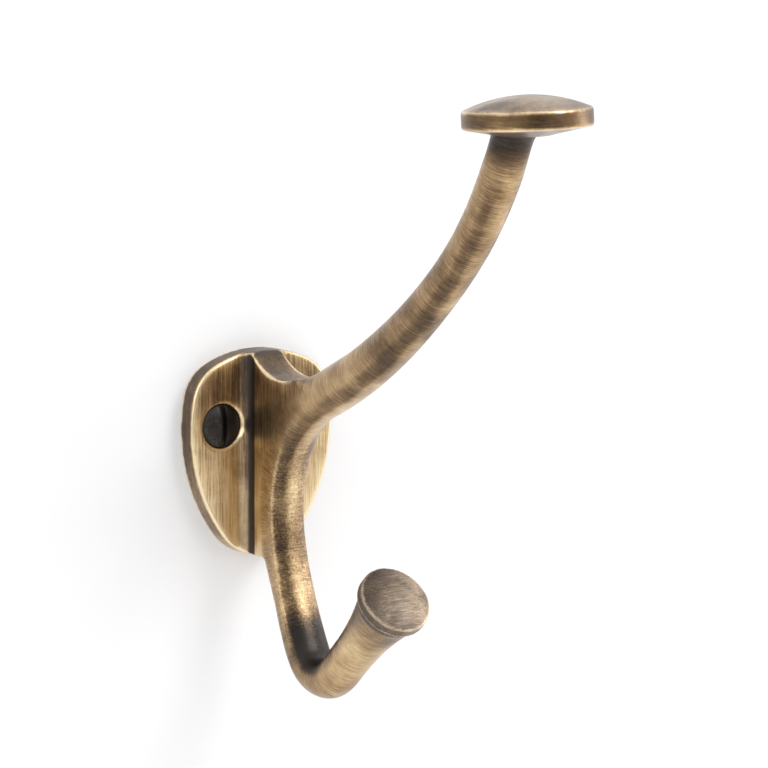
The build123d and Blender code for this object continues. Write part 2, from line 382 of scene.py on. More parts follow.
@dataclass(frozen=True)
class AntiqueBrass:
    """Brushed brass, darkened, relieved by hand and lacquered: gold on worn edges, brown patina in the
    hollows. Its tone also carries painted light and shade: painted highlight lines on the edges, painted
    shade in the hollows, and painted light and shade by height, along and round the bar and across the lower
    button.

    A range gives its start and end and then the results there. A step of a band names its measure as well,
    and goes from 0 to 1 where it gives no results.
    """

    name: str = "brushed_antique_brass"
    tones: Stops = (
        (0.00, (0.012, 0.0085, 0.006, 1)),
        (0.22, (0.064, 0.038, 0.020, 1)),
        (0.42, (0.170, 0.106, 0.052, 1)),
        (0.60, (0.365, 0.240, 0.122, 1)),
        (0.80, (0.630, 0.455, 0.245, 1)),
        (1.00, (0.840, 0.680, 0.430, 1)),
    )
    middle: float = 0.56
    # shifts: patina and painted shade in the hollows, a dark seam line with painted shade in the holes and
    # the bowl, and a darker dome and rim
    shifts: Weights = ((Zone.HOLLOW, -0.32), (Zone.SEAM, -0.75), (Zone.DOME, -0.03), (Zone.RIM, -0.22))
    # painted light and shade: the plate and web lighter towards the foot and darker towards the top, off the
    # bar
    painted_light_by_height: Range = (-24.0, 14.0, 0.36, -0.06)
    # painted shade across the lower button's face: darker on its left, lighter towards its right
    painted_shade_across_face: Range = (-7.0, 7.0, -0.24, -0.05)
    rub_by_depth: Range = (-9.0, -5.0, 0.35, 0.18)
    rub_zones: Weights = ((Zone.BAR, -0.45), (Zone.FACE, -1.0), (Zone.DOME, -0.4))
    # worn edges with painted highlight lines, fainter on the bar
    wear_and_highlight_zones: Weights = ((Zone.BAR, -0.45),)
    wear_and_highlight_weight: float = 0.30
    cloud_weight: float = 0.75
    speckle_weight: float = 0.14
    speckle_zones: Weights = ((Zone.DROP, 0.55),)

    stroke_ways: tuple[tuple[Zone, Stroke], ...] = (
        (Zone.BAR, Stroke.ROUND_THE_BAR), (Zone.FACE, Stroke.ACROSS_THE_FACE),
        (Zone.DOME, Stroke.OVER_THE_DOME), (Zone.RIM, Stroke.ALONG_THE_RIM))
    fine_weight: float = 0.80
    broad_weight: Span = (0.42, 0.08)
    broad_zones: Weights = ((Zone.FACE, -0.26),)
    calm_zones: Weights = ((Zone.HOLLOW, -0.50), (Zone.DOME, -0.70), (Zone.RIM, 0.10), (Zone.DROP, -0.20),
                           (Zone.BAR, -0.12), (Zone.FACE, -0.30))

    bar_reach: Span = (-5.0, 181.0)
    # painted light and shade along the bar: dark under the top button, in the lower hook's bowl and by the
    # lower button, lighter on the arm and the prong
    painted_light_along_bar: tuple[Span, ...] = (
        (0.000, 0.12), (0.032, 0.16), (0.050, 0.44), (0.066, 0.59), (0.120, 0.54), (0.200, 0.45),
        (0.300, 0.46), (0.400, 0.58), (0.470, 0.62), (0.620, 0.57), (0.700, 0.58), (0.740, 0.57),
        (0.782, 0.35), (0.835, 0.40), (0.870, 0.53), (0.910, 0.65), (0.940, 0.59), (0.960, 0.40),
        (1.000, 0.40),
    )
    # painted shade and painted highlight round the bar, by how far each place faces the hook's inner side
    painted_shade_under_arm: Steps = (("facing", 0.30, 0.66, 0.0, -0.20), ("facing", 0.74, 0.98, 1.0, -0.3),
                            ("along", 4.0, 14.0), ("along", 88.0, 104.0, 1.0, 0.0))
    painted_shade_on_drop_flanks: Steps = (("facing", 0.15, 0.40, 0.0, -0.25), ("facing", 0.62, 0.90, 1.0, 0.0),
                          ("across", -1.0, 2.0, 1.0, 0.35),
                          ("along", 88.0, 104.0), ("along", 136.0, 146.0, 1.0, 0.0))
    painted_highlight_on_drop: Steps = (("facing", 0.80, 0.98, 0.0, 0.11),
                        ("along", 88.0, 104.0), ("along", 136.0, 146.0, 1.0, 0.0))
    painted_shade_inside_prong: Steps = (("facing", -0.2, 0.7, 0.0, -0.32), ("along", 144.0, 166.0))
    wander: float = 0.34

    saturation: Weights = ((Zone.DOME, -0.25), (Zone.RIM, 0.30), (Zone.FACE, -0.35), (Zone.HOLLOW, -0.15),
                           (Zone.DROP, -0.02))
    # painted grey reflection, mixed in over the hollows and the top button's dome
    painted_grey_reflection: Tone = (0.110, 0.086, 0.072, 1)
    painted_grey_reflection_by_tone: Range = (0.25, 0.75, 0.9, 0.15)
    painted_grey_reflection_zones: Weights = ((Zone.BAR, -0.7),)
    painted_grey_reflection_in_hollows: float = 0.38
    painted_grey_reflection_on_dome: float = 0.10
    roughness: Range = (0.0, 1.0, 0.46, 0.30)
    stroke_roughness: float = 0.20
    matt_zones: Weights = ((Zone.FACE, 0.24), (Zone.DROP, 0.06))
    metallic: Range = (0.0, 0.5, 0.82, 0.97)
    relief: Span = (0.55, 0.00002)
    coat: float = 0.25
    coat_roughness: float = 0.22

    def make(self) -> bpy.types.Material:
        """Build the finish.

        Returns:
            The material.
        """
        bench = PaintBench(bpy.data.materials.new(self.name))
        fine = self._strokes(bench, 1.0, 2.5)
        broad = self._strokes(bench, 0.30, 1.0)
        calm = bench.weighed(1.0, self.calm_zones)
        weight = bench.weighed(bench.between(bench.zone(Zone.BAR), *self.broad_weight), self.broad_zones)
        strokes = bench.total(bench.product(bench.centred(broad), weight),
                              (bench.centred(fine), self.fine_weight))
        tone = self._tone(bench, bench.product(strokes, calm))
        roughness = bench.total(bench.spread(tone, *self.roughness),
                                (bench.centred(fine), self.stroke_roughness))
        relief = bench.bump(bench.product(fine, calm), *self.relief)
        shader = bench.metal(self._colour(bench, tone), bench.weighed(roughness, self.matt_zones),
                             bench.spread(tone, *self.metallic), relief)
        shader.inputs["Specular IOR Level"].default_value = 0.5
        shader.inputs["Coat Weight"].default_value = self.coat
        shader.inputs["Coat Roughness"].default_value = self.coat_roughness
        return bench.owner

    def _strokes(self, bench: PaintBench, share: float, detail: float) -> bpy.types.NodeSocket:
        """Brush strokes in each surface's own way.

        Args:
            bench: the finish's bench.
            share: fineness, 1 for single strokes.
            detail: octaves of the noise.

        Returns:
            Stroke value about one half.
        """
        def laid(way: Stroke) -> bpy.types.NodeSocket:
            """Strokes that run one way everywhere."""
            cells = tuple(count * share for count in way.value)
            place = bench.bar_place if way is Stroke.ROUND_THE_BAR else bench.place
            return bench.noise(bench.stretched(place, cells), 1.0, detail, 0.62, 0.06)

        strokes = laid(Stroke.UP_THE_PLATE)
        for zone, way in self.stroke_ways:
            strokes = bench.between(bench.zone(zone), strokes, laid(way))
        return strokes

    def _tone(self, bench: PaintBench, strokes: bpy.types.NodeSocket) -> bpy.types.NodeSocket:
        """Add up what makes a place light or dark: strokes, patina, wear and random cloud, with painted light
        and shade by height, along and round the bar, and across the lower button.

        Args:
            bench: the finish's bench.
            strokes: tone of the brush strokes, about zero.

        Returns:
            Tone from 0, brown, to 1, pale gold.
        """
        on_bar, on_face = bench.zone(Zone.BAR), bench.zone(Zone.FACE)
        across, depth, up = bench.apart(bench.place)
        # painted light and shade by height on the plate and web, none on the bar
        height = bench.between(on_bar, bench.spread(up, *self.painted_light_by_height), 0.0)
        # painted light and shade along and round the bar
        along = bench.total(self._painted_light_along_bar(bench), (self._painted_light_round_bar(bench), 1.0))
        rub = bench.product(bench.zone(Zone.RUB), bench.spread(depth, *self.rub_by_depth))
        speckle = bench.centred(bench.noise(bench.place, 2.3, 2.0, 0.6))
        tone = bench.total(
            bench.weighed(self.middle, self.shifts),
            (strokes, 1.0),
            (bench.product(height, bench.weighed(1.0, ((Zone.FACE, -1.0),))), 1.0),
            (bench.product(along, on_bar), 1.0),
            (bench.product(rub, bench.weighed(1.0, self.rub_zones)), 1.0),
            # worn edges with painted highlight lines
            (bench.product(bench.zone(Zone.EDGE), bench.weighed(1.0, self.wear_and_highlight_zones)), self.wear_and_highlight_weight),
            (bench.centred(bench.noise(bench.place, 0.11, 3.0, 0.55, 0.4)), self.cloud_weight),
            (bench.product(speckle, bench.weighed(self.speckle_weight, self.speckle_zones)), 1.0),
            # painted shade across the lower button's face
            (bench.product(on_face, bench.spread(across, *self.painted_shade_across_face)), 1.0),
        )
        return bench.sum("MINIMUM", bench.sum("MAXIMUM", tone, 0.0), 1.0)

    def _colour(self, bench: PaintBench, tone: bpy.types.NodeSocket) -> bpy.types.NodeSocket:
        """Colour of a tone, fainter on the buttons and with a painted grey reflection in the hollows and on
        the dome.

        Args:
            bench: the finish's bench.
            tone: tone from 0 to 1.

        Returns:
            The colour.
        """
        faded = bench.node("ShaderNodeHueSaturation")
        bench.join(bench.weighed(1.0, self.saturation), faded.inputs["Saturation"])
        bench.join(bench.ramp(tone, self.tones), faded.inputs["Color"])
        hollow = bench.zone(Zone.HOLLOW)
        # painted grey reflection: the deep hollows off the bar and the dome mixed towards grey
        deep = bench.product(hollow, hollow, bench.weighed(1.0, self.painted_grey_reflection_zones))
        painted_grey_reflection = bench.total(0.0, (deep, self.painted_grey_reflection_in_hollows), (bench.zone(Zone.DOME), self.painted_grey_reflection_on_dome))
        painted_grey_reflection = bench.product(painted_grey_reflection, bench.spread(tone, *self.painted_grey_reflection_by_tone))
        return bench.between(painted_grey_reflection, faded.outputs["Color"], self.painted_grey_reflection, "RGBA")

    def _painted_light_along_bar(self, bench: PaintBench) -> bpy.types.NodeSocket:
        """Painted light and shade that change along the bar, from the upper button down to the lower one.

        Args:
            bench: the finish's bench.

        Returns:
            Tone shift about zero.
        """
        low, high = self.bar_reach
        along = bench.apart(bench.bar_place)[0]
        share = bench.sum("MULTIPLY_ADD", along, 1 / (high - low), -low / (high - low))
        greys = tuple((at, (tone, tone, tone, 1)) for at, tone in self.painted_light_along_bar)
        return bench.centred(bench.ramp(share, greys))

    def _painted_light_round_bar(self, bench: PaintBench) -> bpy.types.NodeSocket:
        """Painted shade and light round the bar: dark bands under the arm, on the drop's flanks and inside
        the prong, and a painted highlight on the drop's inner side.

        Args:
            bench: the finish's bench.

        Returns:
            Tone shift about zero.
        """
        along, across, inward = bench.apart(bench.bar_place)
        off = bench.node("ShaderNodeVectorMath", operation="LENGTH")
        bench.join(bench.stretched(bench.bar_place, (0.0, 1.0, 1.0)), off.inputs[0])
        facing = bench.sum("DIVIDE", inward, bench.sum("ADD", off.outputs["Value"], 0.2))
        wander = bench.noise(bench.stretched(bench.bar_place, (0.12, 0.3, 0.3)), 1.0, 2.0)
        facing = bench.total(facing, (bench.centred(wander), self.wander))
        measures = {"along": along, "across": across, "facing": facing}
        bands = [bench.product(*(bench.spread(measures[measure], *span) for measure, *span in steps))
                 for steps in (self.painted_shade_under_arm, self.painted_shade_on_drop_flanks, self.painted_highlight_on_drop, self.painted_shade_inside_prong)]
        return bench.total(bands[0], *((band, 1.0) for band in bands[1:]))


@dataclass(frozen=True)
class BlackenedSteel:
    """Oiled black steel of the screws, with a grey sheen."""

    name: str = "blackened_steel"
    tones: Stops = (
        (0.25, (0.004, 0.003, 0.0025, 1)),
        (0.55, (0.022, 0.018, 0.015, 1)),
        (0.80, (0.085, 0.072, 0.062, 1)),
    )

    def make(self) -> bpy.types.Material:
        """Build the finish.

        Returns:
            The material.
        """
        bench = PaintBench(bpy.data.materials.new(self.name))
        grain = bench.noise(bench.place, 1.9, 4.0, 0.6)
        cloud = bench.noise(bench.place, 0.35, 2.0, 0.5)
        mixed = bench.total(0.0, (grain, 0.55), (cloud, 0.5))
        roughness = bench.spread(grain, 0.3, 0.7, 0.34, 0.52)
        shader = bench.metal(bench.ramp(mixed, self.tones), roughness, 0.55, bench.bump(grain, 0.35, 0.00005))
        shader.inputs["Specular IOR Level"].default_value = 0.55
        return bench.owner


@dataclass(frozen=True)
class StudioPaper:
    """Matt white paper, clear from behind so that the wall never hides the hook's back."""

    name: str = "studio_paper"
    colour: Tone = (0.70, 0.70, 0.705, 1)
    lift: float = 0.17

    def make(self) -> bpy.types.Material:
        """Build the finish.

        Returns:
            The material.
        """
        bench = PaintBench(bpy.data.materials.new(self.name))
        fibre = bench.noise(bench.place, 0.05, 3.0)
        shader = bench.metal(self.colour, 0.9, 0.0, bench.bump(fibre, 0.02, 0.0002))
        shader.inputs["Specular IOR Level"].default_value = 0.1
        shader.inputs["Emission Color"].default_value = (1, 1, 1, 1)
        shader.inputs["Emission Strength"].default_value = self.lift
        output = next(node for node in bench.tree.nodes if node.type == "OUTPUT_MATERIAL")
        mix = bench.node("ShaderNodeMixShader")
        bench.join(bench.node("ShaderNodeNewGeometry").outputs["Backfacing"], mix.inputs[0])
        bench.join(shader.outputs[0], mix.inputs[1])
        bench.join(bench.node("ShaderNodeBsdfTransparent").outputs[0], mix.inputs[2])
        bench.join(mix.outputs[0], output.inputs["Surface"])
        return bench.owner


@dataclass(frozen=True)
class CentreLine:
    """Middle line of the bar, in millimetres out from the wall and up, as tangent arcs."""

    start: tuple[float, float] = (86.9, 63.5)
    heading: float = 247.1
    bends: tuple[tuple[float, float], ...] = (
        (81.6, -23.2), (147.0, -19.2), (27.8, 75.6), (66.8, 19.9), (6.9, 101.6))
    neck: float = 4.5
    prong: float = 25.2

    def place(self, points: np.ndarray) -> np.ndarray:
        """Find where each point stands beside the line.

        Args:
            points: rows of X, Y and Z in millimetres.

        Returns:
            Rows of the distance along the line, the distance to the side in X, the distance
            towards the hook's inner side, and the distance off the line.
        """
        flat = np.stack([-points[:, 1], points[:, 2]], axis=1)
        best = np.full(len(flat), np.inf)
        along = np.zeros(len(flat))
        aside = np.zeros(len(flat))
        point = np.array(self.start)
        heading = math.radians(self.heading)
        runs = [self._straight(flat, point, heading, -self.neck, 0.0)]
        reached = 0.0
        for radius, turn in self.bends:
            swing = math.radians(turn)
            runs.append(self._arc(flat, point, heading, radius, swing, reached))
            left = np.array([-math.sin(heading), math.cos(heading)]) * math.copysign(radius, swing)
            centre = point + left
            turned = Matrix.Rotation(swing, 2) @ Vector(-left)
            point = centre + np.array(turned)
            heading += swing
            reached += radius * abs(swing)
        runs.append(self._straight(flat, point, heading, 0.0, self.prong, reached))
        for gone, off, gap in runs:
            nearer = gap < best
            best = np.where(nearer, gap, best)
            along = np.where(nearer, gone, along)
            aside = np.where(nearer, off, aside)
        distance = np.hypot(best, points[:, 0])
        return np.stack([along, points[:, 0], aside, distance], axis=1)

    @staticmethod
    def _straight(flat: np.ndarray, point: np.ndarray, heading: float, low: float, high: float,
                  reached: float = 0.0) -> tuple[np.ndarray, np.ndarray, np.ndarray]:
        """Measure points against a straight run.

        Args:
            flat: rows of out and up.
            point: where the run starts.
            heading: its direction in radians.
            low: nearest distance along it.
            high: farthest distance along it.
            reached: length of the line before it.

        Returns:
            Distance along the line, signed offset and gap of each point.
        """
        way = np.array([math.cos(heading), math.sin(heading)])
        side = np.array([-way[1], way[0]])
        gone = np.clip((flat - point) @ way, low, high)
        away = flat - point - gone[:, None] * way
        return gone + reached, away @ side, np.hypot(away[:, 0], away[:, 1])

    @staticmethod
    def _arc(flat: np.ndarray, point: np.ndarray, heading: float, radius: float, swing: float,
             reached: float) -> tuple[np.ndarray, np.ndarray, np.ndarray]:
        """Measure points against an arc.

        Args:
            flat: rows of out and up.
            point: where the arc starts.
            heading: its direction there in radians.
            radius: its radius.
            swing: the signed angle that it turns through.
            reached: length of the line before it.

        Returns:
            Distance along the line, signed offset and gap of each point.
        """
        sign = math.copysign(1.0, swing)
        centre = point + sign * radius * np.array([-math.sin(heading), math.cos(heading)])
        out = flat - centre
        middle = heading - sign * math.pi / 2 + swing / 2
        angle = (np.arctan2(out[:, 1], out[:, 0]) - middle + math.pi) % (2 * math.pi) - math.pi
        held = np.clip(angle, -abs(swing) / 2, abs(swing) / 2)
        near = centre + radius * np.stack([np.cos(middle + held), np.sin(middle + held)], axis=1)
        gone = radius * (sign * held + abs(swing) / 2) + reached
        away = flat - near
        off = sign * (radius - np.hypot(out[:, 0], out[:, 1]))
        return gone, off, np.hypot(away[:, 0], away[:, 1])


@dataclass
class SkinNet:
    """Edges of a skin, for averages over each point's neighbours."""

    ends: np.ndarray
    count: int

    def __post_init__(self) -> None:
        """Count the neighbours of each point."""
        self.degree = np.maximum(np.bincount(self.ends.ravel(), minlength=self.count), 1)

    def mean(self, values: np.ndarray) -> np.ndarray:
        """Average over each point's neighbours.

        Args:
            values: one number or one row to a point.

        Returns:
            The averages.
        """
        if values.ndim == 1:
            low, high = self.ends[:, 0], self.ends[:, 1]
            gathered = np.bincount(low, values[high], self.count) + np.bincount(high, values[low], self.count)
            return gathered / self.degree
        return np.stack([self.mean(values[:, axis]) for axis in range(values.shape[1])], axis=1)

    def relaxed(self, points: np.ndarray, rounds: int, weight: np.ndarray | float = 1.0) -> np.ndarray:
        """Even out the skin and keep its volume: one step in, one slightly longer step out.

        Args:
            points: rows of X, Y and Z.
            rounds: how many times.
            weight: share of the move at each point.

        Returns:
            The moved points.
        """
        share = weight if isinstance(weight, float) else weight[:, None]
        for _ in range(rounds):
            points = points + 0.5 * share * (self.mean(points) - points)
            points = points - 0.53 * share * (self.mean(points) - points)
        return points

    def spread(self, values: np.ndarray, rounds: int) -> np.ndarray:
        """Let values run out over the skin.

        Args:
            values: one number to a point.
            rounds: how many times.

        Returns:
            The spread values.
        """
        for _ in range(rounds):
            values = 0.5 * values + 0.5 * self.mean(values)
        return values


def eased(values: np.ndarray, low: float, high: float) -> np.ndarray:
    """Map a range on 0 to 1 with a soft start and end.

    Args:
        values: the numbers.
        low: where the result is 0.
        high: where the result is 1.

    Returns:
        The mapped numbers.
    """
    share = np.clip((values - low) / (high - low), 0.0, 1.0)
    return share * share * (3.0 - 2.0 * share)


def piece(name: str, data: bpy.types.ID) -> bpy.types.Object:
    """Put a mesh, light or camera in the scene at the origin.

    Args:
        name: name of the object.
        data: its data.

    Returns:
        The object.
    """
    made = bpy.data.objects.new(name, data)
    bpy.context.scene.collection.objects.link(made)
    return made


def kept(work: bmesh.types.BMesh, name: str) -> bpy.types.Mesh:
    """Turn a bmesh into a mesh and free it.

    Args:
        work: the bmesh.
        name: name of the mesh.

    Returns:
        The mesh.
    """
    mesh = bpy.data.meshes.new(name)
    work.to_mesh(mesh)
    work.free()
    return mesh


def verts_of(parts: list) -> list[bmesh.types.BMVert]:
    """The points among parts of a bmesh."""
    return [part for part in parts if isinstance(part, bmesh.types.BMVert)]


def applied(obj: bpy.types.Object) -> bpy.types.Mesh:
    """Mesh of an object with its modifiers worked in.

    Args:
        obj: the object.

    Returns:
        A new mesh.
    """
    graph = bpy.context.evaluated_depsgraph_get()
    graph.update()
    return bpy.data.meshes.new_from_object(obj.evaluated_get(graph), depsgraph=graph)


# Masks on the casting, each the product of its steps.
# A step names its measure, where it is 0 and where it is 1.
MASKS: dict[str, Steps] = {
    "dome": (("high", 64.6, 65.4),),
    "rim": (("level", 0.75, 0.35),),
    # neck: painted shade under the top button
    "neck": (("high", 59.0, 64.0),),
    "face": (("along", 174.6, 176.2),),
    "bar": (("distance", 5.4, 4.3), ("out", 6.0, 10.0)),
    "prong": (("along", 146.0, 152.0), ("out", 26.0, 30.0)),
    "drop": (("along", 92.0, 106.0), ("along", 146.0, 136.0), ("aside", -1.0, 0.8)),
    # bowl: painted shade in the lower hook's bend
    "bowl": (("along", 131.0, 141.0), ("along", 156.0, 149.0), ("aside", 0.2, 2.2)),
    # edge: worn edges with painted highlight lines
    "edge": (("bend", 0.38, 0.95), ("by_hole", 1.2, 2.0)),
    # crease: patina and painted shade in concave creases
    "crease": (("bend", -0.12, -0.40),),
    # ring: painted highlight line round each hole's mouth
    "ring": (("off_hole", 0.36, 0.10), ("off_hole", -0.30, -0.05), ("out", 2.9, 3.3)),
    # pit: painted shade inside the countersunk holes
    "pit": (("off_hole", -0.15, -0.40), ("out", 6.5, 5.5), ("to_wall", 0.8, 0.3)),
    # valley: patina and painted shade in the fillet between web and plate
    "valley": (("wide", 6.2, 3.3), ("out", 3.7, 3.9), ("out", 7.0, 6.0)),
    "seam": (("sideways", 0.74, 0.96), ("out", 7.2, 6.4)),
    # rim_wall: painted shade on the plate's side walls
    "rim_wall": (("out", 3.7, 3.1), ("square", 0.7, 0.3)),
    # saddle: painted shade on the saddle's upward face
    "saddle": (("to_top", 0.2, 0.55), ("out", 22.0, 17.0), ("out", 3.6, 4.4), ("wide", 5.2, 4.4),
               ("high", 6.0, 8.0)),
}


@dataclass
class CastingSkin:
    """The casting's surface with softened edges and blended joins, as a mould and a brush leave it."""

    line: CentreLine
    voxel: float = 0.35
    first_rounds: int = 5
    smooth_rounds: int = 60
    last_rounds: int = 2
    arm_root: tuple[float, float] = (23.4, 10.0)
    arm_root_reach: Span = (5.7, 3.2)
    hole_spacing: float = 18.4
    countersink: float = 9.2
    sharp_bend: Span = (0.55, 1.10)
    pressed_from: float = 0.02
    rub_rounds: int = 34
    rub_gain: float = 2.4

    def build(self, node: bpy.types.Object) -> bpy.types.Object:
        """Skin the casting.

        Args:
            node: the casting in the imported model.

        Returns:
            The skin.
        """
        raw = bmesh.new()
        raw.from_mesh(node.data)
        bmesh.ops.remove_doubles(raw, verts=raw.verts, dist=0.002 * MM)
        mould = BVHTree.FromBMesh(raw)
        mesh = kept(raw, "casting_blank")
        blank = piece("casting_blank", mesh)
        remesh = blank.modifiers.new("voxels", "REMESH")
        remesh.mode = "VOXEL"
        remesh.voxel_size = self.voxel * MM
        remesh.adaptivity = 0.0
        fine = applied(blank)
        bpy.data.objects.remove(blank)
        bpy.data.meshes.remove(mesh)
        self._relax(fine, mould)
        fine.name = "brass_skin"
        for face in fine.polygons:
            face.use_smooth = True
        return piece("brass_skin", fine)

    def _relax(self, mesh: bpy.types.Mesh, mould: BVHTree) -> None:
        """Take the facets out of the skin, keep its edges, and lay the finish's values on it.

        Args:
            mesh: the skin's mesh.
            mould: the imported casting's faces, which the edges are pressed back on.
        """
        count = len(mesh.vertices)
        flat = np.zeros(count * 3, np.float32)
        mesh.vertices.foreach_get("co", flat)
        points = flat.reshape(-1, 3).astype(float) / MM
        ends = np.zeros(len(mesh.edges) * 2, np.int32)
        mesh.edges.foreach_get("vertices", ends)
        net = SkinNet(ends.reshape(-1, 2), count)
        low, high = points.min(0), points.max(0)
        points = net.relaxed(points, self.first_rounds)
        bend = self._bend(mesh, net, points)
        sharp = eased(np.abs(net.spread(bend, 1)), *self.sharp_bend)
        for _ in range(2):
            sharp = np.maximum(sharp, net.mean(sharp))
        sharp *= 1.0 - self._blended_joins(points)
        points = net.relaxed(points, self.smooth_rounds, 1.0 - sharp)
        for index in np.flatnonzero(sharp > self.pressed_from):
            pressed = mould.find_nearest(Vector(points[index]) * MM)[0]
            points[index] += sharp[index] * (np.array(pressed) / MM - points[index])
        points = np.clip(net.relaxed(points, self.last_rounds), low, high)
        mesh.vertices.foreach_set("co", (points * MM).astype(np.float32).ravel())
        mesh.update()
        self._lay_values(mesh, net, points)

    def _blended_joins(self, points: np.ndarray) -> np.ndarray:
        """Find the places where the casting runs together without an edge.

        Args:
            points: the skin's points in millimetres.

        Returns:
            1 where the arm leaves the saddle, 0 elsewhere.
        """
        out, high = -points[:, 1], points[:, 2]
        return eased(np.hypot(out - self.arm_root[0], high - self.arm_root[1]), *self.arm_root_reach)

    def _bend(self, mesh: bpy.types.Mesh, net: SkinNet, points: np.ndarray) -> np.ndarray:
        """Curvature of the skin, above zero where it is an outer edge.

        Args:
            mesh: the skin's mesh.
            net: its edges.
            points: its points in millimetres.

        Returns:
            Sum of the two curvatures per millimetre, at each point.
        """
        mesh.vertices.foreach_set("co", (points * MM).astype(np.float32).ravel())
        mesh.update()
        pull = net.mean(points) - points
        return -4.0 * np.sum(pull * self._normals(mesh), axis=1) / self.voxel**2

    @staticmethod
    def _normals(mesh: bpy.types.Mesh) -> np.ndarray:
        """Read the skin's normals.

        Args:
            mesh: the skin's mesh.

        Returns:
            Rows of X, Y and Z.
        """
        normals = np.zeros(len(mesh.vertices) * 3, np.float32)
        mesh.vertex_normals.foreach_get("vector", normals)
        return normals.reshape(-1, 3)

    def _measures(self, mesh: bpy.types.Mesh, net: SkinNet, points: np.ndarray) -> dict[str, np.ndarray]:
        """Measure what the masks go by.

        Args:
            mesh: the skin's mesh.
            net: its edges.
            points: its points in millimetres.

        Returns:
            Places in millimetres, curvature and parts of the normal at each point.
        """
        bend = net.spread(self._bend(mesh, net, points), 3)
        normals = self._normals(mesh)
        wide = np.abs(points[:, 0])
        off_hole = np.hypot(wide - self.hole_spacing / 2, points[:, 2]) - self.countersink / 2
        measures = {"bend": bend, "wide": wide, "out": -points[:, 1], "high": points[:, 2],
                    "off_hole": off_hole, "by_hole": np.abs(off_hole),
                    "to_wall": normals[:, 1], "to_top": normals[:, 2]}
        measures |= zip(("along", "across", "aside", "distance"), self.line.place(points).T)
        return measures | dict(zip(("sideways", "square", "level"), np.abs(normals.T)))

    def _lay_values(self, mesh: bpy.types.Mesh, net: SkinNet, points: np.ndarray) -> None:
        """Store what the finish reads at each point.

        Args:
            mesh: the skin's mesh.
            net: its edges.
            points: its points in millimetres.
        """
        measures = self._measures(mesh, net, points)
        mask = {name: math.prod(eased(measures[measure], *span) for measure, *span in steps)
                for name, steps in MASKS.items()}
        dome, valley, bowl = mask["dome"], mask["valley"], mask["bowl"]
        face = mask["face"] * (1.0 - dome)
        bar = np.maximum(mask["bar"], mask["prong"]) * (1.0 - face) * (1.0 - dome)
        # worn edges and painted highlight lines, none on the arm's blended root, with the painted highlight
        # ring round each hole
        edge = np.maximum(mask["edge"] * (1.0 - self._blended_joins(points)), mask["ring"])
        # patina in the creases and the valley with painted shade there, and painted shade on the side walls,
        # the saddle, under the top button and in the bowl
        patina_and_painted_shade = np.maximum(0.6 * net.spread(mask["crease"], 6), valley)
        patina_and_painted_shade = np.maximum(np.maximum(0.75 * mask["rim_wall"], 0.50 * mask["saddle"]), patina_and_painted_shade) * (1.0 - edge)
        rub = np.clip(net.spread(edge, self.rub_rounds) * self.rub_gain, 0.0, 1.0)
        zones = {
            Zone.BAR: bar,
            Zone.DROP: bar * mask["drop"],
            Zone.FACE: face,
            Zone.DOME: dome,
            Zone.RIM: dome * mask["rim"],
            Zone.EDGE: edge,
            Zone.RUB: rub * (1.0 - mask["rim_wall"]) * (1.0 - 0.85 * patina_and_painted_shade),
            Zone.HOLLOW: np.clip(patina_and_painted_shade + 0.35 * mask["neck"] * (1.0 - dome) * bar + 0.85 * bowl, 0.0, 1.0),
            # dark seam line, with painted shade inside the holes and in the bowl
            Zone.SEAM: np.maximum(np.maximum(valley * mask["seam"], mask["pit"]), 0.36 * bowl),
        }
        place = np.stack([measures[name] for name in ("along", "across", "aside")], axis=1)
        layer = mesh.attributes.new("bar_place", "FLOAT_VECTOR", "POINT")
        layer.data.foreach_set("vector", place.astype(np.float32).ravel())
        for zone, values in zones.items():
            layer = mesh.attributes.new(zone.value, "FLOAT", "POINT")
            layer.data.foreach_set("value", values.astype(np.float32))

    def dress(self, skin: bpy.types.Object, finish: AntiqueBrass) -> None:
        """Give the skin its finish and its place in the model.

        Args:
            skin: the casting's skin.
            finish: the brass.
        """
        skin.data.materials.clear()
        skin.data.materials.append(finish.make())
        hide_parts("hook_casting")
        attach(skin, "root")


